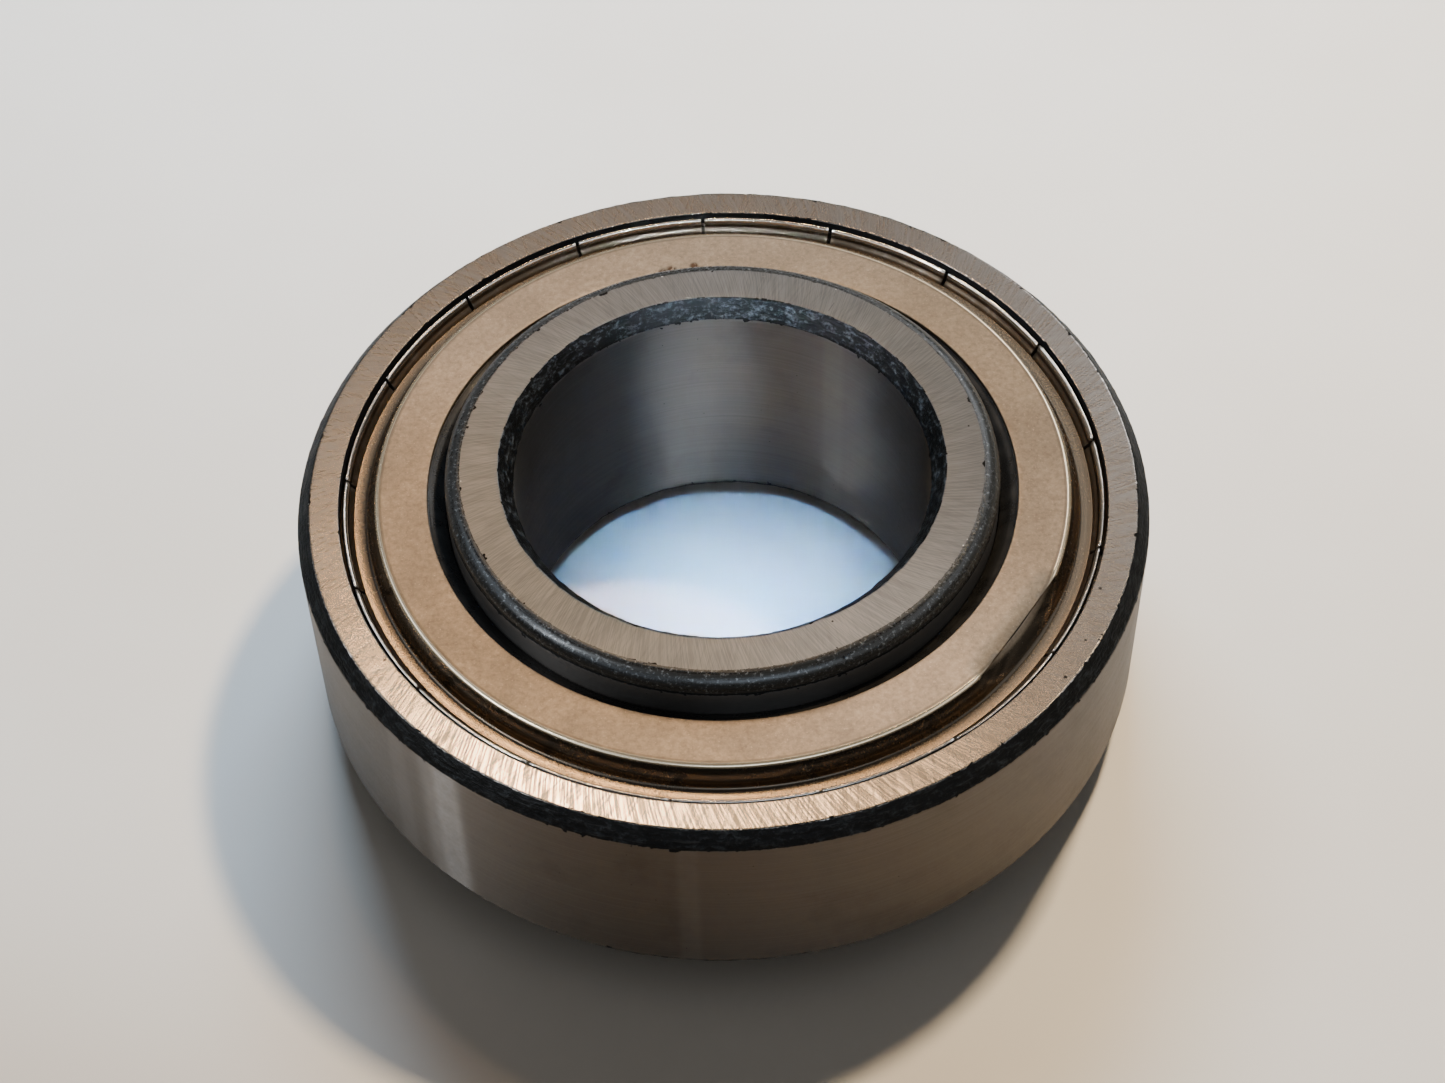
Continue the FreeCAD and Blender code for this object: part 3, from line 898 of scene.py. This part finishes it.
def light_studio():
    """A warm lamp high on the right behind, daylight from the left behind, and cards for the steel."""
    world = bpy.context.scene.world or bpy.data.worlds.new("studio")
    bpy.context.scene.world = world
    world.use_nodes = True
    background = world.node_tree.nodes["Background"]
    background.inputs["Color"].default_value = AMBIENT
    background.inputs["Strength"].default_value = AMBIENT_STRENGTH
    # for the table and the rubber
    add_light("lamp", (53, 58), 0.42, (0.035, 0.035), 2.9, WARM, "surfaces")
    add_light("daylight", (96, 42), 0.34, (0.20, 0.12), 2.0, DAY, "surfaces")
    add_light("light through the bore", (-90, 88), 0.3, (0.02, 0.02), 0.011, SKY, "surfaces", 6.0)
    # for the steel
    add_light("lamp glint", (53, 58), 0.7, (0.06, 0.06), 0.3, WARM, "reflections")
    add_light("window", (158, 42), 0.7, (0.2, 0.2), 0.25, COOL, "reflections")
    add_light("back card", (90, 40), 1.4, (0.8, 0.6), 0.52, WHITE, "reflections")
    add_light("left card", (122, 60), 1.2, (0.3, 0.3), 0.25, WHITE, "reflections")
    add_light("right card", (68, 46), 1.4, (0.4, 0.4), 0.2, WHITE, "reflections")
    add_light("right fill", (64, 36), 1.2, (0.3, 0.3), 1.7, WHITE, "reflections")
    add_light("front card", (-77, 45), 1.2, (0.8, 0.4), 3.0, COOL, "reflections")
    add_light("front left card", (-138, 32), 1.6, (1.2, 0.6), 2.4, COOL, "reflections")
    add_light("front right card", (-38, 32), 1.6, (1.2, 0.6), 1.6, WHITE, "reflections")
    add_light("right wall", (5, 42), 1.4, (0.9, 0.6), 2.2, WHITE, "reflections")
    add_light("left wall", (175, 42), 1.4, (0.9, 0.6), 2.0, COOL, "reflections")
    add_light("side strip", (-160, 42), 1.2, (0.05, 0.5), 5.0, WHITE, "reflections")
    add_light("glare", (99, 58), 1.2, (0.08, 0.05), 2.2, AMBER, "reflections")
    add_light("glare right", (86, 58), 1.2, (0.08, 0.05), 0.4, AMBER, "reflections")
    # narrow beams over the near rim, for the bore's wall alone
    narrow = (0.025, 0.025)
    for turn in range(-96, -59, 9):
        add_light(f"beam {turn}", (turn, 40), 0.6, narrow, 0.0009, COOL, "reflections", 2.0, (0, 19, 4))
    add_light("side beam", (-160, 40), 0.6, narrow, 0.0012, WHITE, "reflections", 2.0, (11, 16, 4))


# degrees, metres and millimetres of focal length
CAMERA_ELEVATION = 49.794
CAMERA_DISTANCE = 0.27020
CAMERA_ROLL = 1.518
CAMERA_TILT = 1.162
CAMERA_LENS = 71.73


def place_camera():
    """Look down at the middle of the outer ring's upper face, with a slight roll and tilt."""
    rise = math.radians(CAMERA_ELEVATION)
    right = Vector((1, 0, 0))
    up = Vector((0, math.sin(rise), math.cos(rise)))
    back = Vector((0, -math.cos(rise), math.sin(rise)))
    turn = (
        Matrix.Rotation(math.radians(CAMERA_TILT), 3, "X")
        @ Matrix.Rotation(math.radians(CAMERA_ROLL), 3, "Z")
        @ Matrix((right, up, back))
    )
    data = bpy.data.cameras.new("camera")
    data.lens = CAMERA_LENS
    data.sensor_width = 36.0
    data.sensor_fit = "HORIZONTAL"
    data.clip_start = 0.01
    camera = bpy.data.objects.new("camera", data)
    target = Vector((0, 0, OUTER_FACE * MM))
    stand = Matrix.Translation(target + CAMERA_DISTANCE * back)
    camera.matrix_world = stand @ turn.transposed().to_4x4()
    bpy.context.scene.collection.objects.link(camera)
    bpy.context.scene.camera = camera


# ---------------------------------------------------------------- build

place_camera()
light_studio()
make_table()
make_outer_ring([
    ground_face_steel(
        "ground outer face", REBATE_R, FACE_EDGE_R,
        level=0.36, warmth=0.06, smoothness=0.17, contrast=1.0, stretch=0.0, marks=outer_face_marks,
    ),
    ground_round_steel(
        "ground outside",
        level=0.125, warmth=0.14, edge=CHAMFER_FOOT, smoothness=0.42, painted_streaks=outside_painted_streaks,
    ),
    heat_scale("furnace scale", speckle=0.25),
])
make_inner_ring([
    ground_face_steel(
        "ground inner face", BORE_MOUTH_R, LAND_R - CORNER_R,
        level=0.225, warmth=-0.08, smoothness=0.40, contrast=0.5, stretch=0.6, marks=inner_face_marks,
    ),
    ground_round_steel(
        "ground bore",
        level=0.15, warmth=0.04, edge=BORE_CHAMFER_FOOT, smoothness=0.38, painted_streaks=bore_painted_streak,
    ),
    heat_scale("blued bore scale", speckle=1.0),
    turned_corner("turned blued corner"),
])
sheet_steel = pressed_sheet("satin pressed sheet")
rim_steel = burnished_rim("burnished rim")
rubber = oiled_rubber("oiled black rubber")
for side in ("upper", "lower"):
    make_shield(side, sheet_steel)
    make_rim(side, rim_steel)
    make_seal_lip(side, rubber)
finish_cad_nodes()
